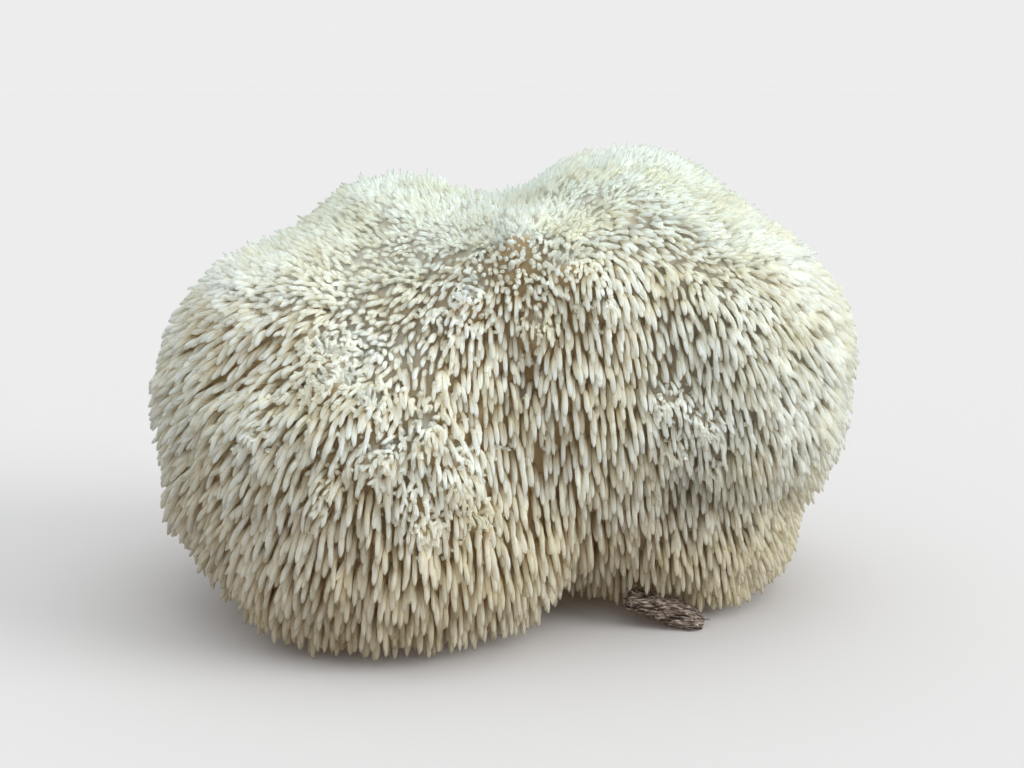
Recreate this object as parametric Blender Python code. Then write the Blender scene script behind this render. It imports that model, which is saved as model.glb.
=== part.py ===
"""A lion's mane mushroom, cut from its tree and standing on the cut, with a chip of bark at its foot.

The fruiting body grew as one piece, so it is one solid. Its surface here is the smooth outer shape that the
tips of its hanging spines reach. Lobes that run into each other are laid out as ellipsoids, fused, smoothed
and cut off flat at the bottom. The chip is a loose shard of bark that the foot grew round.

Frame: metres, +Z up, the front towards -Y, the origin on the resting plane under the middle of the whole object.
"""

import math

import bmesh
import bpy
from mathutils import Matrix, Vector

MM = 0.001

# The lobes of the fruiting body: name, centre and half-widths, in millimetres, before they are fused.
LOBES = (
    ("heart", (0, 8, 62), (84, 64, 60)),
    ("left_shoulder", (-51, 2, 62), (54, 58, 51)),
    ("left_flank", (-57, -6, 42), (46, 50, 43)),
    ("left_brow", (-36, -24, 50), (55, 47, 44)),
    ("left_skirt", (-30, -26, 25), (54, 47, 36)),
    ("left_crown", (-31, 22, 88), (40, 51, 40)),
    ("right_crown", (38, 20, 92), (48.5, 55, 44)),
    ("right_shoulder", (61, 8, 76), (48, 54, 43)),
    ("right_cheek", (66, 4, 58), (41, 50, 35)),
    ("right_skirt", (52, 8, 25), (43, 45, 37)),
    ("face", (16, -11, 85), (50, 39, 38)),
    ("back", (2, 42, 66), (70, 46, 54)),
    ("back_left", (-46, 30, 42), (50, 50, 52)),
    ("back_right", (44, 32, 42), (52, 50, 54)),
    ("foot", (8, 36, 22), (56, 44, 40)),
)
ROUND_SEGMENTS = 48
ROUND_RINGS = 24

# Added to every place, in millimetres, so that the whole object's box is centred over the origin.
CENTRING = (-2, -7.8, 0)

# How the lobes are fused into one skin.
VOXEL = 3.0 * MM
BLEND_STEPS = 36
BLEND_FACTOR = 0.5
SKIN_TRIANGLES = 6400

# The block that cuts the foot off flat.
CUT_DEPTH = 60 * MM
CUT_SIDE = 400 * MM

# The chip of bark: a furrowed shard that lies along X, its left end raised.
BARK_LENGTH = 24 * MM
BARK_WIDTH = 12 * MM
BARK_HEIGHT = 7.5 * MM
BARK_MIDDLE = (48.5, -28, 4.4)
BARK_TURN = math.radians(-8)
BARK_TILT = math.radians(17)
BARK_RINGS = 12
BARK_SIDES = 14
BARK_RIDGES = 5
BARK_RIDGE_DEPTH = 0.10
BARK_BOW = 0.10
BARK_GAP = 0.5 * MM

CREAM = (0.80, 0.74, 0.62, 1.0)
BARK_BROWN = (0.17, 0.11, 0.08, 1.0)


def clear_scene():
    for obj in list(bpy.data.objects):
        bpy.data.objects.remove(obj)


def material(name, colour, roughness):
    """A plain Principled finish."""
    made = bpy.data.materials.new(name)
    made.use_nodes = True
    shader = made.node_tree.nodes["Principled BSDF"]
    shader.inputs["Base Color"].default_value = colour
    shader.inputs["Roughness"].default_value = roughness
    shader.inputs["Metallic"].default_value = 0.0
    made.diffuse_color = colour
    return made


def add_object(name, mesh):
    obj = bpy.data.objects.new(name, mesh)
    bpy.context.scene.collection.objects.link(obj)
    return obj


def add_cutter(name, mesh):
    """A solid that only shapes another one and isn't part of the object."""
    obj = add_object(name, mesh)
    obj.hide_render = True
    obj.display_type = "WIRE"
    return obj


def mesh_of(name, build):
    """A mesh made by a function that fills a bmesh."""
    made = bpy.data.meshes.new(name)
    shape = bmesh.new()
    build(shape)
    bmesh.ops.recalc_face_normals(shape, faces=shape.faces)
    shape.to_mesh(made)
    shape.free()
    return made


def place(millimetres):
    """A place on the object, in metres in its own frame."""
    return (Vector(millimetres) + Vector(CENTRING)) * MM


def fill_lobes(shape):
    """One ellipsoid for each lobe."""
    for _, centre, half_widths in LOBES:
        move = Matrix.Translation(place(centre))
        stretch = Matrix.Diagonal((*(Vector(half_widths) * MM), 1.0))
        bmesh.ops.create_uvsphere(
            shape, u_segments=ROUND_SEGMENTS, v_segments=ROUND_RINGS, radius=1.0, matrix=move @ stretch
        )


def bark_girth(along, angle):
    """How far the bark's skin stands from its middle line, as a share of its half-width and half-height."""
    taper = 0.45 + 0.55 * math.sin(math.pi * (0.10 + 0.82 * along)) ** 0.8
    ridges = BARK_RIDGE_DEPTH * math.cos(BARK_RIDGES * angle + 2.6 * along)
    knots = 0.08 * math.sin(9.0 * along + 2.0 * angle)
    return taper * (1.0 + ridges + knots)


def fill_bark(shape, grow):
    """A bowed shard along X, furrowed lengthways, as rings of points bridged end to end. grow is added all round."""
    rings = []
    for i in range(BARK_RINGS):
        along = i / (BARK_RINGS - 1)
        x = (along - 0.5) * (BARK_LENGTH + 2 * grow)
        bow = BARK_BOW * BARK_HEIGHT * math.cos(math.pi * (along - 0.5))
        points = []
        for j in range(BARK_SIDES):
            angle = 2 * math.pi * j / BARK_SIDES
            share = bark_girth(along, angle)
            y = math.cos(angle) * (share * BARK_WIDTH / 2 + grow)
            z = math.sin(angle) * (share * BARK_HEIGHT / 2 + grow) + bow
            points.append(shape.verts.new((x, y, z)))
        rings.append(points)
    loops = [[shape.edges.new(pair) for pair in zip(points, points[1:] + points[:1])] for points in rings]
    for first, second in zip(loops, loops[1:]):
        bmesh.ops.bridge_loops(shape, edges=first + second)
    shape.faces.new(rings[0])
    shape.faces.new(rings[-1])


def lie_at_foot(mesh):
    """Turns the chip a little from the front, raises its left end and moves it to the foot."""
    turn = Matrix.Rotation(BARK_TURN, 4, "Z")
    tilt = Matrix.Rotation(BARK_TILT, 4, "Y")
    mesh.transform(Matrix.Translation(place(BARK_MIDDLE)) @ turn @ tilt)
    return mesh


def fill_underground(shape):
    """Everything below the resting plane, as a block."""
    bmesh.ops.create_cube(shape, size=1.0)
    bmesh.ops.scale(shape, vec=(CUT_SIDE, CUT_SIDE, CUT_DEPTH), verts=shape.verts)
    bmesh.ops.translate(shape, vec=(0, 0, -CUT_DEPTH / 2), verts=shape.verts)


def subtract(obj, cutter):
    cut = obj.modifiers.new(f"without_{cutter.name}", "BOOLEAN")
    cut.operation = "DIFFERENCE"
    cut.solver = "EXACT"
    cut.object = cutter


def make_bark(finish, underground):
    mesh = lie_at_foot(mesh_of("bark_chip", lambda shape: fill_bark(shape, 0.0)))
    mesh.materials.append(finish)
    subtract(add_object("bark_chip", mesh), underground)


def triangles_so_far(obj):
    """How many triangles an object's modifiers give so far."""
    shown = obj.evaluated_get(bpy.context.evaluated_depsgraph_get())
    mesh = shown.to_mesh()
    mesh.calc_loop_triangles()
    count = len(mesh.loop_triangles)
    shown.to_mesh_clear()
    return count


def make_body(finish, underground, socket):
    mesh = mesh_of("fruiting_body", fill_lobes)
    mesh.materials.append(finish)
    mesh.shade_smooth()
    body = add_object("fruiting_body", mesh)

    fuse = body.modifiers.new("fuse_lobes", "REMESH")
    fuse.mode = "VOXEL"
    fuse.voxel_size = VOXEL
    fuse.use_smooth_shade = True

    soften = body.modifiers.new("soften_creases", "SMOOTH")
    soften.factor = BLEND_FACTOR
    soften.iterations = BLEND_STEPS

    thin = body.modifiers.new("thin_out", "DECIMATE")
    thin.ratio = min(1.0, SKIN_TRIANGLES / triangles_so_far(body))

    subtract(body, underground)
    subtract(body, socket)


def main():
    clear_scene()
    cream = material("lions_mane_cream", CREAM, 0.6)
    brown = material("bark_brown", BARK_BROWN, 0.9)
    underground = add_cutter("underground", mesh_of("underground", fill_underground))
    roomier_bark = lie_at_foot(mesh_of("bark_socket", lambda shape: fill_bark(shape, BARK_GAP)))
    make_body(cream, underground, add_cutter("bark_socket", roomier_bark))
    make_bark(brown, underground)


main()
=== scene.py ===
"""The looks of a lion's mane mushroom: its flesh, its hanging spines and the chip of bark at its foot.

Everything is in metres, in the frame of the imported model: +Z up, the front towards -Y, the cut at z = 0.
"""

import math
from collections import namedtuple

import bpy
import numpy as np
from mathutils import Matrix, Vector, noise
from mathutils.bvhtree import BVHTree
from mathutils.kdtree import KDTree


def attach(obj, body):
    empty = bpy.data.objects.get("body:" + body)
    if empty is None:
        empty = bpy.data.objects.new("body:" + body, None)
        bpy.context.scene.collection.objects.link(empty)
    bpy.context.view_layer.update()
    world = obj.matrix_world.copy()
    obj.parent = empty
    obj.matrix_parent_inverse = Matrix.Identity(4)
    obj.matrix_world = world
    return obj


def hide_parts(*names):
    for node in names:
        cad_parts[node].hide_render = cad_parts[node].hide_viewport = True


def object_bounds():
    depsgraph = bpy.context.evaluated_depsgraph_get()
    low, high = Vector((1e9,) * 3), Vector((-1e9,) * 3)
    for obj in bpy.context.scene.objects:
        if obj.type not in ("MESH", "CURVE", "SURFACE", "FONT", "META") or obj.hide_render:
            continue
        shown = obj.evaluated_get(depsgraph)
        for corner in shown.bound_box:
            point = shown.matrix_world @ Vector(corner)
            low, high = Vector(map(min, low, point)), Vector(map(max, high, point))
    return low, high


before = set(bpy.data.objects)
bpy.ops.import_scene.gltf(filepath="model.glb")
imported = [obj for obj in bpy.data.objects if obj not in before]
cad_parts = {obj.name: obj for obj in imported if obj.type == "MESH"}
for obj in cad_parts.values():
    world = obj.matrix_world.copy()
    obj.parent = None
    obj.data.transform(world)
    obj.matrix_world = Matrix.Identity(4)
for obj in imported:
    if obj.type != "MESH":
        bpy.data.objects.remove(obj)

CAD_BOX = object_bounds()
MM = 0.001
BODY = "root"
SEED = 11


def mm(*lengths):
    """Lengths given in millimetres, in metres."""
    return tuple(length * MM for length in lengths)


# ---------------------------------------------------------------- meshes, places and directions


def named(name, mesh):
    piece = bpy.data.objects.new(name, mesh)
    bpy.context.scene.collection.objects.link(piece)
    return piece


def discard(piece):
    mesh = piece.data
    bpy.data.objects.remove(piece)
    bpy.data.meshes.remove(mesh)


def points_of(mesh):
    flat = np.empty(len(mesh.vertices) * 3)
    mesh.vertices.foreach_get("co", flat)
    return flat.reshape(-1, 3)


def normals_of(mesh):
    flat = np.empty(len(mesh.vertices) * 3)
    mesh.vertices.foreach_get("normal", flat)
    return flat.reshape(-1, 3)


def set_points(mesh, points):
    mesh.vertices.foreach_set("co", np.asarray(points, dtype=np.float64).ravel())
    mesh.update()


def soften(piece, steps):
    """Smooths a piece by half of the way to its neighbours, that many times."""
    soft = piece.modifiers.new("soft", "SMOOTH")
    soft.factor = 0.5
    soft.iterations = steps


def as_shown(piece):
    return piece.evaluated_get(bpy.context.evaluated_depsgraph_get())


def remeshed(mesh, voxel, smooth_steps):
    """An even mesh of the same shape, softened a little."""
    helper = named("helper", mesh)
    even = helper.modifiers.new("even", "REMESH")
    even.mode = "VOXEL"
    even.voxel_size = voxel
    soften(helper, smooth_steps)
    made = bpy.data.meshes.new_from_object(as_shown(helper))
    discard(helper)
    return made


def unit(vectors):
    return vectors / np.maximum(np.linalg.norm(vectors, axis=1, keepdims=True), 1e-9)


def facing_up(normals):
    """How far each normal faces up, in degrees above the horizon."""
    return np.degrees(np.arcsin(np.clip(normals[:, 2], -1, 1)))


def pointing(heading, pitch):
    """Unit vectors with those headings about the vertical and pitches above the horizon, in radians."""
    flat = np.cos(pitch)
    return np.stack((flat * np.cos(heading), flat * np.sin(heading), np.sin(pitch)), axis=1)


def sideways(vectors, scale):
    """The same vectors with only their x parts scaled."""
    still = np.ones(len(vectors))
    return unit(vectors * np.stack((scale, still, still), axis=1))


def step_up(values, low, high):
    """0 below low, 1 above high, and smooth between them."""
    share = np.clip((values - low) / (high - low), 0, 1)
    return share * share * (3 - 2 * share)


def near(points, centre, width):
    """1 at the centre, falling off to 0 around it."""
    return np.exp(-((points - centre) ** 2).sum(1) / width**2)


def noise_at(points, width, offset=0.0):
    """Smooth noise of about -1 to 1, with bumps about that wide."""
    shift = Vector((offset, -offset, 2 * offset))
    return np.array([noise.noise(Vector(p) / width + shift) for p in points])


def tree_of(points):
    tree = KDTree(len(points))
    for i, point in enumerate(points):
        tree.insert(point, i)
    tree.balance()
    return tree


def surface_of(mesh):
    """A search tree over a mesh's faces."""
    return BVHTree.FromPolygons([v.co for v in mesh.vertices], [p.vertices for p in mesh.polygons])


def scattered(mesh, broad, count, random):
    """Points scattered over a mesh by area, with the normal and the broad normal at each."""
    mesh.calc_loop_triangles()
    corners = np.empty(len(mesh.loop_triangles) * 3, dtype=np.int64)
    mesh.loop_triangles.foreach_get("vertices", corners)
    corners = corners.reshape(-1, 3)
    points = points_of(mesh)
    normals = normals_of(mesh)
    a, b, c = (points[corners[:, k]] for k in range(3))
    areas = np.linalg.norm(np.cross(b - a, c - a), axis=1)
    chosen = random.choice(len(corners), size=count, p=areas / areas.sum())
    u, v = random.random((2, count))
    fold = u + v > 1
    u[fold], v[fold] = 1 - u[fold], 1 - v[fold]
    weights = np.stack((1 - u - v, u, v), axis=1)[:, :, None]
    places, facing, flow = (
        (values[corners[chosen]] * weights).sum(1) for values in (points, normals, broad)
    )
    return places, unit(facing), unit(flow)


def even_choice(points, gaps):
    """Which of the points to keep, so that none is nearer to another than its gap."""
    tree = tree_of(points)
    taken = np.zeros(len(points), dtype=bool)
    kept = []
    for i, point in enumerate(points):
        if taken[i]:
            continue
        kept.append(i)
        for _, other, _ in tree.find_range(point, gaps[i]):
            taken[other] = True
    return np.array(kept)


# ---------------------------------------------------------------- the flesh that the spines grow from

SHELL_VOXEL = 2.6 * MM
SHELL_STEPS = 4
FLESH_VOXEL = 2.2 * MM
FLESH_STEPS = 2

# How much the surface is smoothed to find which way the spines hang.
BROAD_STEPS = 120

# How deep the flesh lies under the spine tips, by how far up the surface faces, in degrees.
FACING = (-90, -30, 0, 20, 47, 65, 90)
SPINE_DEPTH = mm(13.5, 9.5, 7.5, 6.5, 3.8, 2.6, 2.3)

# The spines are finer, shorter and closer together on the right flank: from where on, and by how much.
FINER_ACROSS = (mm(25, 75), (1.0, 0.82))

# The flat underside of the body, and the rim round it: how high up they reach, and how the underside faces.
UNDERSIDE_TOP = 0.6 * MM
UNDERSIDE_FACING = -0.8
RIM_TOP = 3.0 * MM

# The cut foot: how far inside the rim of the flat underside it starts, and from where on it is whole. What
# is below its top and faces down there has no spines, and flesh below its edge is flattened to its height.
FOOT_STARTS = 17 * MM
FOOT_WHOLE = 22 * MM
FOOT_TOP = 2 * MM
FOOT_FACING = -0.5
FOOT_EDGE = 0.8 * MM
FOOT_Z = 0.15 * MM

# How far the tips stop short of the CAD solid's surface, before the lumps.
RELIEF_SETBACK = 0.6 * MM

# Lumps of the flesh, coarse and fine: height and width.
LUMPS = (mm(2.2, 17), mm(0.9, 7))

# Small knobs on the front, with tufts of short fine spines on them: x, z, height and width in millimetres.
KNOBS = (
    (-47, 85, 2.0, 4.0),
    (-44, 78, 2.5, 3.5),
    (-49, 78, 1.5, 3.0),
    (-35, 74, 2.0, 3.0),
    (-36, 58, 2.0, 3.5),
    (-30, 60, 2.5, 4.0),
    (-19, 66, 2.0, 3.0),
    (-21, 62, 2.5, 3.5),
    (-11, 58, 2.5, 3.0),
    (-16, 52, 2.0, 3.0),
    (-11, 50, 3.0, 4.0),
    (-24, 47, 2.5, 3.5),
    (-21, 40, 3.0, 4.5),
    (-6, 41, 2.0, 3.0),
    (-48, 52, 1.5, 3.0),
    (-49, 45, 1.5, 3.0),
    (-68, 64, 1.5, 3.0),
    (4, 114, 1.5, 4.0),
    (18, 107, 2.0, 4.0),
    (-10, 98, 1.5, 3.0),
    (9, 91, 2.0, 3.5),
    (28, 96, 1.5, 3.0),
    (45, 69, 2.0, 3.5),
    (52, 64, 2.0, 3.5),
    (57, 61, 1.5, 3.0),
    (48, 55, 1.5, 3.0),
    (58, 48, 1.5, 3.0),
)
TUFT_FLESH = 4.0 * MM

# Small hollows, where the spines part: x, z, depth and width in millimetres.
HOLLOWS = (
    (6, 79, 6.0, 6.5),
    (-76, 78, 3.0, 8.0),
    (-34, 77, 2.5, 4.0),
    (48, 34, 3.0, 12.0),
    (14, 52, 2.5, 8.0),
)

# Where the spines on the front are raised to point outward: x and z in millimetres, by how many degrees,
# and the width in millimetres.
RAISED = ((4, 104, 42, 17),)

# Where else on the front buds grow, besides the knobs and the raised spot: x and z in millimetres.
BUDDING = ((2, 113), (-20, 73), (7, 59), (-40, 66))

# The mesh that the tips reach, its broad normals, the flesh under it, the rim of the underside, and the
# middles of the knobs, of the raised spots and of the other spots with buds.
Surfaces = namedtuple("Surfaces", "tips broad flesh rim knobs raised budding")


def foot_share(points, rim):
    """How far each point is inside the foot: 0 at the rim of the flat underside, 1 well inside it."""
    flat = points * (1, 1, 0)
    inside = np.array([rim.find(p)[2] for p in flat])
    return step_up(inside, FOOT_STARTS, FOOT_WHOLE)


def find_foot(points, normals):
    """Which points are on the flat underside, the rim round it, and how far each is inside the foot."""
    underside = (points[:, 2] < UNDERSIDE_TOP) & (normals[:, 2] < UNDERSIDE_FACING)
    around = (points[:, 2] < RIM_TOP) & ~underside
    rim = tree_of(points[around] * (1, 1, 0))
    return underside, rim, np.where(underside, foot_share(points, rim), 0.0)


def front_point(shell, x, z):
    """Where the front of the body is at that x and z, given in millimetres."""
    hit = shell.ray_cast(Vector((x * MM, -1.0, z * MM)), Vector((0, 1, 0)))
    return np.array(hit[0])


def front_points(shell, spots):
    """The same for spots that start with their x and z."""
    return [front_point(shell, spot[0], spot[1]) for spot in spots]


def broad_normals(mesh):
    """The normal at each vertex once the mesh is smoothed until only its lobes are left."""
    helper = named("helper", mesh.copy())
    soften(helper, BROAD_STEPS)
    normals = normals_of(as_shown(helper).data)
    discard(helper)
    return normals


def relief_at(points, outer, knobs):
    """How far the surface stands out at each point, and how much nearer to it the flesh is in the tufts."""
    relief = np.zeros(len(points))
    tuft_flesh = np.zeros(len(points))
    for centre, (_, _, height, width) in zip(knobs, KNOBS):
        share = near(points, centre, width * MM)
        relief += height * MM * share
        tuft_flesh = np.maximum(tuft_flesh, TUFT_FLESH * share)
    for centre, (_, _, depth, width) in zip(front_points(outer, HOLLOWS), HOLLOWS):
        relief -= depth * MM * near(points, centre, width * MM)
    for i, (height, width) in enumerate(LUMPS):
        relief += height * noise_at(points, width, offset=3.7 * i)
    return relief, tuft_flesh


def make_flesh(shell):
    """The flesh as an even mesh, flat where it was cut."""
    flesh = remeshed(shell, FLESH_VOXEL, FLESH_STEPS)
    points = points_of(flesh)
    points[points[:, 2] < FOOT_EDGE, 2] = FOOT_Z
    set_points(flesh, points)
    flesh.shade_smooth()
    return flesh


def make_surfaces():
    shell = remeshed(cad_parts["fruiting_body"].data.copy(), SHELL_VOXEL, SHELL_STEPS)
    outer = surface_of(shell)
    points = points_of(shell)
    normals = normals_of(shell)
    underside, rim, foot = find_foot(points, normals)
    knobs = front_points(outer, KNOBS)
    relief, tuft_flesh = relief_at(points, outer, knobs)
    relief *= ~underside
    depth = np.interp(facing_up(normals), FACING, SPINE_DEPTH) * (1 - foot)
    depth *= np.interp(points[:, 0], *FINER_ACROSS)

    broad = broad_normals(shell)
    tips = shell.copy()
    set_points(tips, points + normals * (relief - RELIEF_SETBACK)[:, None])
    set_points(shell, points + normals * (relief + tuft_flesh - depth)[:, None])
    raised, budding = (front_points(outer, spots) for spots in (RAISED, BUDDING))
    return Surfaces(tips, broad, make_flesh(shell), rim, knobs, raised, budding)


# ---------------------------------------------------------------- the spines

# How many spots are tried for spines, and how many sides a spine has.
CANDIDATES = 160000
SPINE_SIDES = 5

# How far along their colours the spines on the crowns start, so that their roots are pale: painted light in
# place of the painted shade at the roots, where light falls from above.
PAINTED_ROOT_LIGHT_START = 0.7

# The right flank is painted paler than the rest, as painted light where the light from the right falls:
# from where to where, and by how much.
PAINTED_FLANK_LIGHT_ACROSS = mm(20, 75)
PAINTED_FLANK_LIGHT = 0.65

# Where a spine's rings lie along it, and how wide each is on a hanging spine and on an upright one. Both
# ends close in a point.
RING_PLACES = (0.03, 0.50, 0.76, 0.89, 0.965)
HANGING_WIDTHS = np.array((0.80, 0.96, 1.00, 0.84, 0.46))
UPRIGHT_WIDTHS = np.array((1.10, 0.98, 0.76, 0.52, 0.26))

# How far up the surface faces, in degrees, and there: the way the spines end up pointing, their length, how
# far apart their tips are, and their width. The width also differs a little from left to right.
SPINE_FACING = (-90, -30, 0, 20, 35, 47, 58, 70, 80, 90)
SPINE_PITCH = (-90, -81, -70, -57, -40, -14, 16, 44, 66, 88)
SPINE_LENGTH = mm(14.0, 13.0, 12.0, 11.5, 10.0, 7.7, 6.0, 5.1, 4.6, 4.5)
SPINE_SPACING = mm(2.8, 2.65, 2.6, 2.45, 2.2, 1.9, 1.65, 1.55, 1.55, 1.55)
SPINE_WIDTH = mm(1.65, 1.65, 1.60, 1.56, 1.46, 1.32, 1.20, 1.15, 1.12, 1.12)
SPINE_WIDTH_ACROSS = (mm(-60, -8, 50), (1.06, 0.92, 1.0))

# How much the length and the width differ from one spine to the next, and how ragged the tips are, by how
# far up the surface faces.
SIZE_VARIES = 0.10
RAGGED = ((40, 65), mm(0.6, 1.0))

# Between which facings spines change from hanging to upright ones, from tan roots in painted shade to pale
# ones in painted light from above, and from uneven to even.
UPRIGHT_FACING = (45, 65)
PAINTED_ROOT_LIGHT_FACING = (25, 60)
EVEN_FACING = (40, 65)

# How much of the way a spine hangs comes from its own spot, and not from the lobe that it is on: mostly,
# and in the tufts on the knobs.
OWN_FACING = 0.25
TUFT_FACING = 0.85

# How much of a spine's length is spent on turning from its root's way to the way it hangs, by how far the
# surface faces up. At the root it points mostly straight out, and partly the way it ends.
TURN_SHARE = ((0, 35, 60, 80), (0.42, 0.50, 0.50, 0.40))
ROOT_OUT = 0.9
ROOT_ALONG = 0.5

# How far back some of the spines stand, how few they are, and how much less far they stand back on top and
# on the right flank. The others come forward by a share of that.
STAND_BACK = 2.6 * MM
BACK_POWER = 1.7
EVEN_TOP = 0.6
EVEN_FLANK = 0.5
COME_FORWARD = 0.25

# How deep the roots go into the flesh.
ROOT_DEPTH = 0.6 * MM

# A spine's tone, and how it changes with standing back and being short (painted shade), being in a tuft
# (painted light), and by chance.
MEAN_TONE = 0.85
BACK_PAINTED_SHADE = -0.5
SHORT_PAINTED_SHADE = -0.9
TUFT_PAINTED_LIGHT = 0.4
TONE_VARIES = 0.12

# How much the spines lean away from the middle of the whole body, against away from their own lobe.
OUTWARD_LEAN = 1.1

# How far spines turn from the common way, in degrees about the vertical and up or down: in patches, with
# their width and their place in the noise, and one by one. Spines that point straight up or down turn less.
PATCH_TURN = (16, 14 * MM, 21.3)
PATCH_LIFT = (8, 12 * MM, 9.1)
OWN_TURN = 12
OWN_LIFT = 8
LEAST_TURN = 0.3
STEEPEST_PITCH = math.radians(89)

# How much more or less the hanging spines lean sideways, from the left flank across to the right one, and
# between which facings that fades out, in degrees below the horizon.
SWAY_ACROSS = (mm(-90, -50, -20, 0, 25, 60, 100), (1.9, 1.5, 0.9, 0.35, 0.4, 0.8, 1.4))
SWAY_FADES = (-50, -30)

# A tuft: how far it reaches against its knob, how much closer together, shorter, thinner and more ruffled
# its spines are, and how many degrees they are lifted.
TUFT_REACH = 1.2
TUFT_SPACING = 0.52
TUFT_LENGTH = 0.38
TUFT_WIDTH = 0.52
TUFT_RUFFLE = 3.0
TUFT_LIFT = 35

# Shorter spines stand between the long ones: how much farther apart, and how much shorter.
SHORT_SPACING = 1.55
SHORT_SHARE = (0.65, 0.88)

# How far spines keep from the bark at their spots, and from the flesh and the bark at their middles and
# tips. What is farther off than the last of these is clear of them.
BARK_ROOM = 1.2 * MM
CLEAR_BY = 0.8 * MM
FAR_OFF = 4 * CLEAR_BY

# How near to each other spines come before they push apart, by what share of that they move in each round,
# and how many rounds there are before and after they are pushed clear of the flesh.
PUSH_REACH = 1.1 * SPINE_WIDTH[0]
PUSH_STEP = 0.35
SPREAD_FIRST = 5
SPREAD_AGAIN = 3

# How low tips and middles may come above the table, and how much of a spine's lower half is left at least.
LOWEST_TIPS = mm(0.4, 2.2)
LOWEST_TIP = 0.3 * MM
LOWEST_MIDDLE = 1.2 * MM
LEAST_LEFT = 0.15

# Young spines, like small buds, fill the flesh round the knobs and where the long ones part.
BUD_CANDIDATES = 60000
BUD_SPACING = 1.9 * MM
BUD_REACH = 7.0 * MM
BUD_SHARE = 1.6
BUD_LENGTH = mm(2.2, 5.0)
BUD_WIDTH = mm(1.05, 1.60)
BUD_DEPTH = 0.5 * MM
BUD_MIDDLE = 0.45
BUD_SPREAD = 0.55

# Spines on what faces up more than this many degrees belong to the crowns.
CROWN_FACING = 48

# How much of its cell in the map is left free on each side of a spine.
MAP_MARGIN = 0.06

# One row for each spine's spot: where its tip comes, the way the surface faces there, the way that sets how
# it hangs, how far up that faces, how much it is in a tuft, and how much of its full length it has.
Spots = namedtuple("Spots", "places facing hang up tufted size")

# One row for each spine: its root, middle and tip, the width of each of its rings, how far up its spot
# faces, its tone from dark to light with painted shade and light in it, and how pale its root is as painted
# light.
Spines = namedtuple("Spines", "roots middles tips widths up tone pale")


def picked(rows, which):
    """Some of the rows of Spots or Spines."""
    return type(rows)(*(values[which] for values in rows))


def tuft_share(points, knobs):
    """How much each point is in a tuft."""
    share = np.zeros(len(points))
    for centre, (_, _, _, width) in zip(knobs, KNOBS):
        share = np.maximum(share, near(points, centre, TUFT_REACH * width * MM))
    return share


def spine_spots(surfaces, barks, random):
    """Where spines come, evenly spread over all but the foot and the bark: long ones, then shorter ones."""
    places, facing, flow = scattered(surfaces.tips, surfaces.broad, CANDIDATES, random)
    in_foot = (places[:, 2] < FOOT_TOP) & (facing[:, 2] < FOOT_FACING)
    in_foot &= foot_share(places, surfaces.rim) > 0.0
    clear = np.array([barks.find_nearest(p)[3] > BARK_ROOM for p in places])
    places, facing, flow = (values[~in_foot & clear] for values in (places, facing, flow))
    tufted = tuft_share(places, surfaces.knobs)
    own = (OWN_FACING + (TUFT_FACING - OWN_FACING) * tufted)[:, None]
    hang = unit(flow * (1 - own) + facing * own)
    up = facing_up(hang)
    gaps = np.interp(up, SPINE_FACING, SPINE_SPACING) * (1 + (TUFT_SPACING - 1) * tufted)
    gaps *= np.interp(places[:, 0], *FINER_ACROSS)
    long = even_choice(places, gaps)
    late = np.arange(len(places) // 2, len(places))
    short = late[even_choice(places[late], gaps[late] * SHORT_SPACING)]
    chosen = np.concatenate((long, short))
    size = random.uniform(*SHORT_SHARE, len(chosen))
    size[:len(long)] = 1.0
    return Spots(*(values[chosen] for values in (places, facing, hang, up, tufted)), size)


def spine_ways(spots, raised, random):
    """The way that each spine points at its root and at its tip."""
    places = spots.places
    count = len(places)
    outward = spots.hang[:, :2] + OUTWARD_LEAN * unit(places[:, :2])
    heading = np.arctan2(outward[:, 1], outward[:, 0])
    pitch = np.radians(np.interp(spots.up, SPINE_FACING, SPINE_PITCH))
    loose = np.cos(pitch) * (1 - LEAST_TURN) + LEAST_TURN
    ruffle = 1 + TUFT_RUFFLE * spots.tufted
    patch_turn, turn_width, turn_offset = PATCH_TURN
    patch_lift, lift_width, lift_offset = PATCH_LIFT
    turn = patch_turn * noise_at(places, turn_width, turn_offset)
    lift = patch_lift * noise_at(places, lift_width, lift_offset)
    turn += ruffle * random.normal(0, OWN_TURN, count)
    lift += ruffle * random.normal(0, OWN_LIFT, count)
    heading += np.radians(loose * turn)
    pitch += np.radians(lift + TUFT_LIFT * spots.tufted)
    for centre, (_, _, raise_by, width) in zip(raised, RAISED):
        pitch += math.radians(raise_by) * near(places, centre, width * MM)
    end = pointing(heading, np.clip(pitch, -STEEPEST_PITCH, math.pi / 2))
    sway = 1 + (np.interp(places[:, 0], *SWAY_ACROSS) - 1) * step_up(-spots.up, *SWAY_FADES)
    end = sideways(end, sway)
    start = sideways(spots.facing * ROOT_OUT + end * ROOT_ALONG, np.minimum(sway, 1))
    return start, end


def rooted(roots, flesh):
    """The nearest places to those roots that are just inside the flesh."""
    inside = np.empty_like(roots)
    for i, root in enumerate(roots):
        place, normal, _, _ = flesh.find_nearest(root)
        inside[i] = np.array(place) - np.array(normal) * ROOT_DEPTH
    return inside


def push_clear(points, flesh, barks):
    """Moves points that are inside the flesh or the bark, or too close to them, out the nearest way."""
    for i, point in enumerate(points):
        for solid in (flesh, barks):
            place, normal, _, away = solid.find_nearest(point)
            if away > FAR_OFF:
                continue
            height = (Vector(point) - place).dot(normal)
            if height < CLEAR_BY:
                points[i] = points[i] + np.array(normal) * (CLEAR_BY - height)
                point = points[i]


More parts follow.
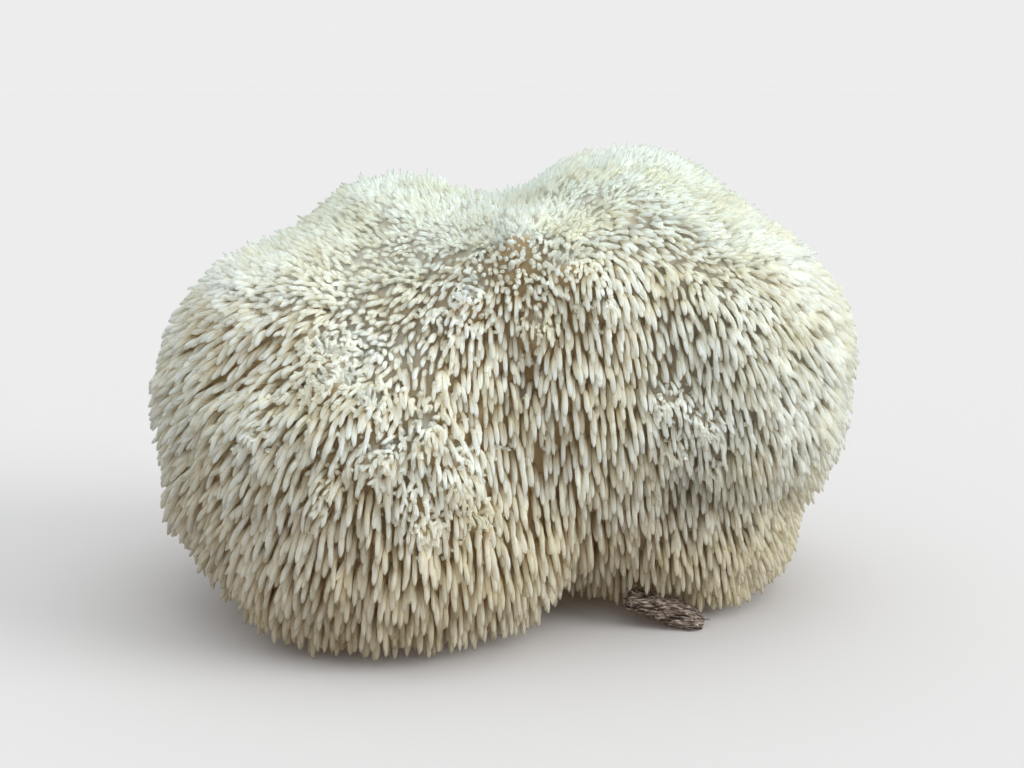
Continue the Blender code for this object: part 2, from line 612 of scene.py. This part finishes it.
def spread(middles, tips, rounds):
    """Pushes the spines' middles and tips apart sideways where they are closer than a spine's width."""
    count = len(tips)
    for _ in range(rounds):
        both = np.concatenate((middles, tips))
        tree = tree_of(both)
        moves = np.zeros_like(both)
        for i, point in enumerate(both):
            for place, other, away in tree.find_range(point, PUSH_REACH):
                if other % count == i % count or away < 1e-7:
                    continue
                moves[i] += (point - np.array(place)) / away * (PUSH_REACH - away) * PUSH_STEP
        along = np.tile(unit(tips - middles), (2, 1))
        moves -= along * (moves * along).sum(1)[:, None]
        both += moves
        middles, tips = both[:count], both[count:]
    return middles, tips


def above_table(middles, tips, random):
    """Shortens the spines that would reach the table, each to its own height above it."""
    lowest = random.uniform(*LOWEST_TIPS, len(tips))
    fall = np.maximum(middles[:, 2] - tips[:, 2], 1e-6)
    kept = np.clip((middles[:, 2] - lowest) / fall, LEAST_LEFT, 1.0)[:, None]
    tips = np.where((tips[:, 2] < lowest)[:, None], middles + (tips - middles) * kept, tips)
    tips[:, 2] = np.maximum(tips[:, 2], LOWEST_TIP)
    middles[:, 2] = np.maximum(middles[:, 2], LOWEST_MIDDLE)
    return middles, tips


def grow_spines(surfaces, flesh, barks):
    """Every spine of the body, apart from the buds."""
    random = np.random.default_rng(SEED)
    spots = spine_spots(surfaces, barks, random)
    places, facing, _, up, tufted, size = spots
    count = len(places)
    finer = np.interp(places[:, 0], *FINER_ACROSS)
    flank = step_up(places[:, 0], *PAINTED_FLANK_LIGHT_ACROSS)
    start, end = spine_ways(spots, surfaces.raised, random)
    length = np.interp(up, SPINE_FACING, SPINE_LENGTH) * (1 + random.normal(0, SIZE_VARIES, count))
    length *= finer * (1 + (TUFT_LENGTH - 1) * tufted)
    back = random.random(count) ** BACK_POWER * (1 - tufted)
    back *= (1 - EVEN_TOP * step_up(up, *EVEN_FACING)) * (1 - EVEN_FLANK * flank)
    ragged = np.interp(up, *RAGGED) * random.normal(0, 1, count)

    tips = places + end * ragged[:, None] - facing * (STAND_BACK * (back - COME_FORWARD))[:, None]
    turn = np.interp(up, *TURN_SHARE)
    middles = tips - end * ((1 - turn) * length)[:, None]
    roots = rooted(middles - start * (turn * length)[:, None], flesh)
    middles = roots + (middles - roots) * size[:, None]
    tips = roots + (tips - roots) * size[:, None]

    middles, tips = spread(middles, tips, SPREAD_FIRST)
    push_clear(middles, flesh, barks)
    push_clear(tips, flesh, barks)
    middles, tips = spread(middles, tips, SPREAD_AGAIN)
    middles, tips = above_table(middles, tips, random)

    width = np.interp(up, SPINE_FACING, SPINE_WIDTH) * (1 + random.normal(0, SIZE_VARIES, count))
    width *= finer * (1 + (TUFT_WIDTH - 1) * tufted) * np.interp(tips[:, 0], *SPINE_WIDTH_ACROSS)
    upright = step_up(up, *UPRIGHT_FACING)[:, None]
    widths = (HANGING_WIDTHS + (UPRIGHT_WIDTHS - HANGING_WIDTHS) * upright) * width[:, None]
    # Painted shade on spines that stand back and on the short ones, painted light in the tufts, and each
    # spine's own tone by chance.
    tone = MEAN_TONE + BACK_PAINTED_SHADE * back + SHORT_PAINTED_SHADE * (1 - size) + TUFT_PAINTED_LIGHT * tufted
    tone += random.normal(0, TONE_VARIES, count)
    # Painted light at the roots: on the crowns, in the tufts and on the right flank the roots lose their
    # painted shade.
    pale = np.maximum(np.maximum(step_up(up, *PAINTED_ROOT_LIGHT_FACING), tufted), PAINTED_FLANK_LIGHT * flank)
    return Spines(roots, middles, tips, widths, up, np.clip(tone, 0, 1), pale)


def grow_buds(flesh_mesh, spots):
    """The young spines on the flesh near those spots."""
    random = np.random.default_rng(SEED + 1)
    places, facing, _ = scattered(flesh_mesh, normals_of(flesh_mesh), BUD_CANDIDATES, random)
    share = np.zeros(len(places))
    for spot in spots:
        share = np.maximum(share, near(places, spot, BUD_REACH))
    wanted = random.random(len(places)) < BUD_SHARE * share
    places, facing = places[wanted], facing[wanted]
    kept = even_choice(places, np.full(len(places), BUD_SPACING))
    places, facing = places[kept], facing[kept]
    count = len(places)
    length = random.uniform(*BUD_LENGTH, count)[:, None]
    way = unit(facing + BUD_SPREAD * random.normal(0, 1, (count, 3)))
    roots = places - facing * BUD_DEPTH
    middles = places + facing * BUD_MIDDLE * length
    tips = middles + way * (1 - BUD_MIDDLE) * length
    widths = HANGING_WIDTHS * random.uniform(*BUD_WIDTH, count)[:, None]
    return Spines(roots, middles, tips, widths, facing_up(facing), np.ones(count), np.ones(count))


def spine_template():
    """The faces of one spine, and where each corner of a face lies on the spine's own map."""
    rings = len(RING_PLACES)
    root = rings * SPINE_SIDES
    tip = root + 1
    last = (rings - 1) * SPINE_SIDES
    heights = (0.0, *RING_PLACES, 1.0)
    faces = []
    corners = []
    for j in range(SPINE_SIDES):
        following = (j + 1) % SPINE_SIDES
        left, right = j / SPINE_SIDES, (j + 1) / SPINE_SIDES
        faces.append((root, following, j))
        corners.append(((left, 0.0), (right, heights[1]), (left, heights[1])))
        for i in range(rings - 1):
            low, high = i * SPINE_SIDES, (i + 1) * SPINE_SIDES
            below, above = heights[i + 1], heights[i + 2]
            faces.append((low + j, low + following, high + following, high + j))
            corners.append(((left, below), (right, below), (right, above), (left, above)))
        faces.append((last + j, last + following, tip))
        corners.append(((left, heights[rings]), (right, heights[rings]), (left, 1.0)))
    return faces, corners


def spine_points(spines):
    """Every vertex of every spine: rings round a quadratic curve, then its two end points."""
    places = np.array((*RING_PLACES, 0.0, 1.0))[None, :, None]
    a, b, c = spines.roots[:, None, :], spines.middles[:, None, :], spines.tips[:, None, :]
    centres = (1 - places) ** 2 * a + 2 * (1 - places) * places * b + places**2 * c
    tangents = 2 * (1 - places) * (b - a) + 2 * places * (c - b)
    tangents /= np.linalg.norm(tangents, axis=2, keepdims=True)
    side = np.cross(spines.middles - spines.roots, spines.tips - spines.middles)
    side = unit(side + (1e-7, 2e-7, 1e-7))[:, None, :]
    side = side - tangents * (side * tangents).sum(2, keepdims=True)
    side /= np.linalg.norm(side, axis=2, keepdims=True)
    across = np.cross(tangents, side)
    rings = len(RING_PLACES)
    angles = 2 * math.pi * np.arange(SPINE_SIDES) / SPINE_SIDES
    cos, sin = np.cos(angles)[None, None, :, None], np.sin(angles)[None, None, :, None]
    ring = side[:, :rings, None, :] * cos + across[:, :rings, None, :] * sin
    skin = centres[:, :rings, None, :] + ring * 0.5 * spines.widths[:, :, None, None]
    flat = skin.reshape(len(centres), rings * SPINE_SIDES, 3)
    return np.concatenate((flat, centres[:, rings:, :]), axis=1)


def spine_faces(mesh, points):
    """Gives a new mesh the points and faces of many spines."""
    count, size, _ = points.shape
    faces, _ = spine_template()
    totals = np.tile([len(face) for face in faces], count)
    loops = np.concatenate(faces)
    loops = (loops[None, :] + size * np.arange(count)[:, None]).ravel()
    starts = np.concatenate(((0,), np.cumsum(totals)[:-1]))
    mesh.vertices.add(count * size)
    mesh.vertices.foreach_set("co", points.ravel())
    mesh.loops.add(len(loops))
    mesh.loops.foreach_set("vertex_index", loops.astype(np.int32))
    mesh.polygons.add(len(totals))
    mesh.polygons.foreach_set("loop_start", starts.astype(np.int32))
    mesh.update(calc_edges=True)
    mesh.shade_smooth()


def add_values(mesh, name, values):
    layer = mesh.attributes.new(name, "FLOAT", "POINT")
    layer.data.foreach_set("value", values.astype(np.float32))


def add_spine_map(mesh, count):
    """A map with a square cell for each spine, for baking its colours."""
    _, corners = spine_template()
    cells = math.ceil(math.sqrt(count))
    own = MAP_MARGIN + (1 - 2 * MAP_MARGIN) * np.array([corner for face in corners for corner in face])
    cell = np.stack((np.arange(count) % cells, np.arange(count) // cells), axis=1)
    spots = (cell[:, None, :] + own[None, :, :]) / cells
    layer = mesh.uv_layers.new(name="OFBake")
    layer.uv.foreach_set("vector", spots.ravel().astype(np.float32))


def spine_mesh(name, spines):
    """One mesh of many spines, with each point's place from root to tip for the painted shade at the roots,
    and each spine's own tone with painted shade and light in it.
    """
    points = spine_points(spines)
    count, size, _ = points.shape
    mesh = bpy.data.meshes.new(name)
    spine_faces(mesh, points)
    along = np.concatenate((np.repeat(RING_PLACES, SPINE_SIDES), (0.0, 1.0)))[None, :]
    # The painted shade at the roots gives way to painted light on the crowns, the tufts and the right
    # flank.
    start = PAINTED_ROOT_LIGHT_START * spines.pale[:, None]
    add_values(mesh, "root_shade_to_tip", (start + (1 - start) * along).ravel())
    add_values(mesh, "tone", np.repeat(spines.tone, size))
    add_spine_map(mesh, count)
    mesh.validate()
    return mesh


def spine_groups(spines):
    """The spines of each piece, by where they grow: the two crowns, then four quarters round the sides."""
    right = spines.roots[:, 0] > 0
    back = spines.roots[:, 1] > 0
    crown = spines.up > CROWN_FACING
    return {
        "spines_crown_left": crown & ~right,
        "spines_crown_right": crown & right,
        "spines_front_left": ~crown & ~right & ~back,
        "spines_front_right": ~crown & right & ~back,
        "spines_back_left": ~crown & ~right & back,
        "spines_back_right": ~crown & right & back,
    }


# ---------------------------------------------------------------- finishes

# The colour for mixing that darkens nothing.
PLAIN = (1.0, 1.0, 1.0)

# A mix node's sockets for colours, by number, because its sockets for other values have the same names.
MIX_SHARE = 0
MIX_FIRST = 6
MIX_SECOND = 7
MIX_RESULT = 2


class Finish:
    """A node material, written from its shader backwards."""

    def __init__(self, name):
        self.material = bpy.data.materials.new(name)
        self.material.use_nodes = True
        self.tree = self.material.node_tree
        self.shader = self.tree.nodes["Principled BSDF"]

    def node(self, kind, **settings):
        made = self.tree.nodes.new(kind)
        for key, value in settings.items():
            setattr(made, key, value)
        return made

    def join(self, source, target):
        self.tree.links.new(source, target)

    def colour(self, source):
        self.join(source, self.shader.inputs["Base Color"])

    def set(self, **values):
        for key, value in values.items():
            self.shader.inputs[key.replace("_", " ")].default_value = value

    def let_light_in(self, weight, scale, radius):
        """Light scatters about that far under the surface, by those shares of it in red, green and blue."""
        self.set(Subsurface_Weight=weight, Subsurface_Scale=scale, Subsurface_Radius=radius)
        self.shader.subsurface_method = "BURLEY"

    def attribute(self, name):
        return self.node("ShaderNodeAttribute", attribute_name=name).outputs["Fac"]

    def part(self, vector, axis):
        split = self.node("ShaderNodeSeparateXYZ")
        self.join(vector, split.inputs["Vector"])
        return split.outputs[axis]

    def share(self, source, low, high):
        """0 where the source is at low and 1 where it is at high."""
        made = self.node("ShaderNodeMapRange")
        made.inputs["From Min"].default_value = low
        made.inputs["From Max"].default_value = high
        self.join(source, made.inputs["Value"])
        return made.outputs["Result"]

    def along(self, axis, low, high):
        """0 at one place along an axis and 1 at another, in metres."""
        place = self.node("ShaderNodeTexCoord")
        return self.share(self.part(place.outputs["Object"], axis), low, high)

    def noise(self, scale, detail=2.0, stretch=(1, 1, 1)):
        place = self.node("ShaderNodeTexCoord")
        fit = self.node("ShaderNodeMapping")
        fit.inputs["Scale"].default_value = stretch
        texture = self.node("ShaderNodeTexNoise")
        texture.inputs["Scale"].default_value = scale
        texture.inputs["Detail"].default_value = detail
        self.join(place.outputs["Object"], fit.inputs["Vector"])
        self.join(fit.outputs["Vector"], texture.inputs["Vector"])
        return texture.outputs["Fac"]

    def ramp(self, source, *stops):
        """A colour ramp: stops are (place, colour)."""
        made = self.node("ShaderNodeValToRGB")
        set_stops(made.color_ramp, stops)
        self.join(source, made.inputs["Fac"])
        return made.outputs["Color"]

    def mix(self, share, first, second, blend="MIX"):
        made = self.node("ShaderNodeMix", data_type="RGBA", blend_type=blend)
        for value, spot in ((share, MIX_SHARE), (first, MIX_FIRST), (second, MIX_SECOND)):
            if isinstance(value, bpy.types.NodeSocket):
                self.join(value, made.inputs[spot])
            elif spot == MIX_SHARE:
                made.inputs[spot].default_value = value
            else:
                made.inputs[spot].default_value = (*value, 1.0)
        return made.outputs[MIX_RESULT]

    def tint(self, first, second):
        return self.mix(1.0, first, second, blend="MULTIPLY")

    def bump(self, height, distance, strength):
        made = self.node("ShaderNodeBump")
        made.inputs["Strength"].default_value = strength
        made.inputs["Distance"].default_value = distance
        self.join(height, made.inputs["Height"])
        self.join(made.outputs["Normal"], self.shader.inputs["Normal"])


def set_stops(band, stops):
    """Fills a colour ramp of two stops with others."""
    for _ in range(len(stops) - 2):
        band.elements.new(0.5)
    for element, (place, colour) in zip(band.elements, stops):
        element.position = place
        element.color = (*colour, 1.0)


def spine_finish():
    """Waxy cream-white spines: tan roots as painted shade, tan patches, yellower and darker near the foot
    as painted shade, and cooler on top as painted light.
    """
    finish = Finish("lions_mane_spine")
    # Painted shade: each spine is tan towards its root, where it lies in the shade of the spines over it,
    # and whitest near its tip.
    body = finish.ramp(
        finish.attribute("root_shade_to_tip"),
        (0.10, (0.79, 0.67, 0.49)),
        (0.50, (0.79, 0.74, 0.63)),
        (0.76, (0.84, 0.84, 0.80)),
        (0.92, (0.88, 0.90, 0.89)),
        (1.00, (0.88, 0.87, 0.80)),
    )
    # Painted shade: spines that stand back or are short are darker and tanner, tufted ones lighter; the
    # rest is each spine's own tone.
    own = finish.ramp(finish.attribute("tone"), (0.0, (0.72, 0.64, 0.52)), (0.75, PLAIN))
    patches = finish.ramp(finish.noise(65.0, detail=3.0), (0.36, (0.93, 0.90, 0.82)), (0.58, PLAIN))
    # Painted shade near the foot, darker and warmer towards the bottom, and painted cool light on top.
    painted_shade_and_light_by_height = finish.ramp(
        finish.along("Z", 0.0, 0.135),
        (0.0, (0.84, 0.75, 0.59)),
        (0.42, (0.97, 0.975, 0.97)),
        (0.74, (0.98, 0.99, 0.99)),
        (0.94, (0.88, 0.92, 0.92)),
    )
    finish.colour(finish.tint(finish.tint(finish.tint(body, own), patches), painted_shade_and_light_by_height))
    finish.set(Roughness=0.55, Specular_IOR_Level=0.2)
    finish.let_light_in(0.8, 4 * MM, (1.0, 0.95, 0.85))
    finish.bump(finish.noise(900.0, detail=2.0), 0.12 * MM, 0.5)
    return finish.material


def flesh_finish():
    """Dense flesh: tan between the hanging spines as painted shade, pale on the crowns and the right flank
    as painted light, and pale at the cut.
    """
    finish = Finish("lions_mane_flesh")
    geometry = finish.node("ShaderNodeNewGeometry")
    # Painted shade: the tan between the spines stands in for the warm shade deep among them.
    painted_gap_shade = finish.ramp(
        finish.noise(160.0, detail=4.0),
        (0.3, (0.80, 0.57, 0.29)),
        (0.7, (0.90, 0.71, 0.44)),
    )
    # Painted light: the flesh is paler where it faces up, towards the light from above.
    crown = finish.ramp(finish.part(geometry.outputs["Normal"], "Z"), (0.4, (0.0, 0.0, 0.0)), (0.8, PLAIN))
    grown = finish.mix(crown, painted_gap_shade, (0.93, 0.88, 0.77))
    # Painted light: the flesh on the right flank is paler, where the light from the right falls.
    grown = finish.mix(finish.along("X", *PAINTED_FLANK_LIGHT_ACROSS), grown, (0.92, 0.86, 0.73))
    cut = finish.ramp(
        finish.noise(240.0, detail=5.0),
        (0.3, (0.72, 0.62, 0.46)),
        (0.7, (0.86, 0.79, 0.65)),
    )
    at_cut = finish.share(finish.part(geometry.outputs["Position"], "Z"), 2.0 * MM, 0.4 * MM)
    finish.colour(finish.mix(at_cut, grown, cut))
    finish.set(Roughness=0.75)
    finish.let_light_in(0.5, 3 * MM, (1.0, 0.9, 0.75))
    finish.bump(finish.noise(700.0, detail=4.0), 0.4 * MM, 0.6)
    return finish.material


def bark_finish():
    """Weathered bark: near-black cracks, partly painted shade, between grey and pinkish fibres that run
    along it.
    """
    finish = Finish("weathered_bark")
    fibres = finish.noise(1500.0, detail=6.0, stretch=(0.14, 1, 1))
    # Partly painted shade: the cracks, low in the bump, are near-black on top of the bark's own darker
    # colour there.
    colour = finish.ramp(
        fibres,
        (0.38, (0.035, 0.020, 0.014)),
        (0.47, (0.20, 0.135, 0.10)),
        (0.55, (0.46, 0.35, 0.29)),
        (0.64, (0.72, 0.61, 0.54)),
    )
    finish.colour(colour)
    finish.set(Roughness=0.85)
    finish.bump(fibres, 1.0 * MM, 1.0)
    return finish.material


# ---------------------------------------------------------------- the bark

BARK_VOXEL = 0.3 * MM
BARK_STEPS = 2

# How much the bark is scaled down, so that what is carved on it takes up the solid's room.
BARK_SHRINK = (0.94, 0.96, 0.92)

# How wide and how high the furrows, the grain and the chunks are, and how much longer than wide the first
# two are.
FURROWS = mm(1.2, 0.8)
GRAIN = mm(0.45, 0.25)
CHUNKS = mm(4.0, 0.6)
FURROW_STRETCH = 4

# The furrows are sharp where the noise crosses zero: how high the bark stands there, and how fast it falls.
FURROW_TOP = 0.4
FURROW_FALL = 2.2

# How far the bark may reach past the CAD solid's box, and its splinters, and how low they may come.
BARK_OVER = 1.0 * MM
SPLINTERS_OVER = 1.5 * MM
BARK_Z = 0.1 * MM

# How many splinters there are, their size, with the thickness as a share of the width, how far they stand
# off the bark, how much their ways differ and how much they point outward.
SPLINTERS = 60
SPLINTER_LENGTH = mm(3.0, 8.0)
SPLINTER_WIDTH = mm(0.5, 1.3)
SPLINTER_THICKNESS = 0.5
SPLINTER_LIFT = 0.15 * MM
SPLINTER_TURN = 0.22
SPLINTER_OUT = 0.25
SPLINTER_FACES = ((0, 2, 4), (0, 4, 3), (0, 3, 5), (0, 5, 2), (1, 4, 2), (1, 3, 4), (1, 5, 3), (1, 2, 5))

# Splinters stand on what is this high up and doesn't face down, or is an end.
SPLINTERS_ABOVE = 1.5 * MM
NOT_DOWN = -0.2
END_FACING = 0.6


def carved(bark):
    """Where the bark's points come once furrows, grain and chunks are cut into it, all running along it."""
    points = points_of(bark)
    stretched = points * (1 / FURROW_STRETCH, 1.0, 1.0)
    furrows = np.abs(noise_at(stretched, FURROWS[0]))
    grain = noise_at(stretched, GRAIN[0])
    chunks = noise_at(points, CHUNKS[0], 5.0)
    height = FURROWS[1] * (FURROW_TOP - FURROW_FALL * furrows) + GRAIN[1] * grain + CHUNKS[1] * chunks
    return points + normals_of(bark) * height[:, None]


def kept_within(points, low, high, over):
    """Points moved to where they are at most that far outside a box, and above the table."""
    points = np.clip(points, low - over, high + over)
    points[:, 2] = np.maximum(points[:, 2], BARK_Z)
    return points


def splinter(base, along, across, length, width):
    """The corners of a flat splinter that tapers to a point at both ends."""
    up = np.cross(along, across)
    corners = [base - along * 0.5 * length, base + along * 0.5 * length]
    corners += [base + across * 0.5 * width, base - across * 0.5 * width]
    thick = SPLINTER_THICKNESS * width
    corners += [base + up * 0.5 * thick, base - up * 0.5 * thick]
    return corners


def splinters_on(bark, random):
    """The corners of all splinters, one after another."""
    points = points_of(bark)
    normals = normals_of(bark)
    lengthways = np.linalg.svd(points - points.mean(0), full_matrices=False)[2][0]
    at_end = np.abs(normals @ lengthways) > END_FACING
    shown = np.flatnonzero((points[:, 2] > SPLINTERS_ABOVE) & ((normals[:, 2] > NOT_DOWN) | at_end))
    corners = []
    for i in random.choice(shown, SPLINTERS, replace=False):
        along = lengthways + random.normal(0, SPLINTER_TURN, 3) + SPLINTER_OUT * normals[i]
        along = unit(along[None, :])[0]
        across = unit(np.cross(along, normals[i])[None, :])[0]
        base = points[i] + normals[i] * SPLINTER_LIFT
        length = random.uniform(*SPLINTER_LENGTH)
        corners += splinter(base, along, across, length, random.uniform(*SPLINTER_WIDTH))
    return np.array(corners)


def make_bark():
    """The chip of bark: furrows along it, and splinters standing off it."""
    bark = remeshed(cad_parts["bark_chip"].data.copy(), BARK_VOXEL, BARK_STEPS)
    solid = points_of(bark)
    low, high = solid.min(0), solid.max(0)
    middle = (low + high) / 2 * (1, 1, 0)
    points = middle + (carved(bark) - middle) * BARK_SHRINK
    set_points(bark, kept_within(points, low, high, BARK_OVER))

    corners = kept_within(splinters_on(bark, np.random.default_rng(SEED)), low, high, SPLINTERS_OVER)
    points = points_of(bark)
    faces = [tuple(p.vertices) for p in bark.polygons]
    for k in range(SPLINTERS):
        first = len(points) + 6 * k
        faces += [tuple(first + c for c in face) for face in SPLINTER_FACES]
    shard = bpy.data.meshes.new("bark_shard")
    shard.from_pydata(np.concatenate((points, corners)).tolist(), [], faces)
    shard.shade_smooth()
    return shard


# ---------------------------------------------------------------- the studio

FLOOR_REACH = 12.0

# The floor's colour balances the light on it, so that it looks as bright and as neutral as the sky.
FLOOR_COLOUR = (0.966, 0.902, 0.904)

# The light from all round: how high it comes from, as the sine of its elevation, and its colour.
SKY = (
    (-0.06, (0.12, 0.10, 0.08)),
    (-0.02, (0.85, 0.85, 0.85)),
    (0.20, (0.85, 0.85, 0.85)),
    (0.35, (0.47, 0.50, 0.50)),
    (1.00, (0.72, 0.79, 0.79)),
)

# The soft lights: name, the side it comes from, how many degrees wide it looks, its strength and colour.
SOFT_LIGHTS = (
    ("overhead", (0.80, -0.35, 2.70), 60, 0.37, (0.93, 1.0, 1.0)),
    ("right", (2.42, -0.62, 0.95), 36, 1.46, (0.95, 1.0, 0.99)),
)

CAMERA_LIFT = math.radians(12)
CAMERA_AWAY = 0.45
CAMERA_TARGET = (0.002, -0.0078, 0.066)
CAMERA_LENS = 52.4
CAMERA_SENSOR = 36.0


def make_floor():
    reach = FLOOR_REACH
    mesh = bpy.data.meshes.new("floor")
    corners = [(-reach, -reach, 0), (reach, -reach, 0), (reach, reach, 0), (-reach, reach, 0)]
    mesh.from_pydata(corners, [], [(0, 1, 2, 3)])
    floor = named("floor", mesh)
    finish = Finish("pale_floor")
    finish.set(Base_Color=(*FLOOR_COLOUR, 1.0), Roughness=1.0, Specular_IOR_Level=0.0)
    mesh.materials.append(finish.material)
    floor.visible_diffuse = False


def aimed(name, data, place, target):
    made = bpy.data.objects.new(name, data)
    made.location = place
    made.rotation_euler = (Vector(target) - Vector(place)).to_track_quat("-Z", "Y").to_euler()
    bpy.context.scene.collection.objects.link(made)
    return made


def softlight(name, place, target, width, strength, colour):
    """Light from far off on that side, as from a round softbox that looks that many degrees wide."""
    light = bpy.data.lights.new(name, "SUN")
    light.angle = math.radians(width)
    light.energy = strength
    light.color = colour
    aimed(name, light, place, target)


def make_sky():
    """An even pale sky over dark ground, so that what faces down stays in shade."""
    world = bpy.data.worlds.new("studio")
    world.use_nodes = True
    tree = world.node_tree
    background = tree.nodes["Background"]
    place = tree.nodes.new("ShaderNodeTexCoord")
    split = tree.nodes.new("ShaderNodeSeparateXYZ")
    lift = tree.nodes.new("ShaderNodeMapRange")
    lift.inputs["From Min"].default_value = -1.0
    ramp = tree.nodes.new("ShaderNodeValToRGB")
    set_stops(ramp.color_ramp, [(0.5 + 0.5 * height, colour) for height, colour in SKY])
    tree.links.new(place.outputs["Generated"], split.inputs["Vector"])
    tree.links.new(split.outputs["Z"], lift.inputs["Value"])
    tree.links.new(lift.outputs["Result"], ramp.inputs["Fac"])
    tree.links.new(ramp.outputs["Color"], background.inputs["Color"])
    background.inputs["Strength"].default_value = 1.0
    bpy.context.scene.world = world


def make_studio():
    make_floor()
    make_sky()
    low, high = CAD_BOX
    middle = (Vector(low) + Vector(high)) / 2
    for name, place, width, strength, colour in SOFT_LIGHTS:
        softlight(name, place, middle, width, strength, colour)


def make_camera():
    data = bpy.data.cameras.new("camera")
    data.lens = CAMERA_LENS
    data.sensor_width = CAMERA_SENSOR
    data.clip_start = 0.01
    back = Vector((0, -math.cos(CAMERA_LIFT), math.sin(CAMERA_LIFT)))
    target = Vector(CAMERA_TARGET)
    bpy.context.scene.camera = aimed("camera", data, target + back * CAMERA_AWAY, target)


# ---------------------------------------------------------------- everything together


def add_piece(name, mesh, finish, node):
    """Shows a mesh in one finish, in place of that node of the model."""
    mesh.materials.clear()
    mesh.materials.append(finish)
    piece = named(name, mesh)
    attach(piece, BODY)
    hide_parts(node)


def add_spines(surfaces, flesh, barks):
    grown = grow_spines(surfaces, flesh, barks)
    buds = grow_buds(surfaces.flesh, surfaces.knobs + surfaces.raised + surfaces.budding)
    spines = Spines(*(np.concatenate(pair) for pair in zip(grown, buds)))
    finish = spine_finish()
    for name, chosen in spine_groups(spines).items():
        add_piece(name, spine_mesh(name, picked(spines, chosen)), finish, "fruiting_body")


def main():
    bark = make_bark()
    barks = surface_of(bark)
    add_piece("bark_shard", bark, bark_finish(), "bark_chip")

    surfaces = make_surfaces()
    flesh = surface_of(surfaces.flesh)
    add_piece("flesh", surfaces.flesh, flesh_finish(), "fruiting_body")
    add_spines(surfaces, flesh, barks)

    make_studio()
    make_camera()
    bpy.context.scene.view_settings.view_transform = "Standard"


main()
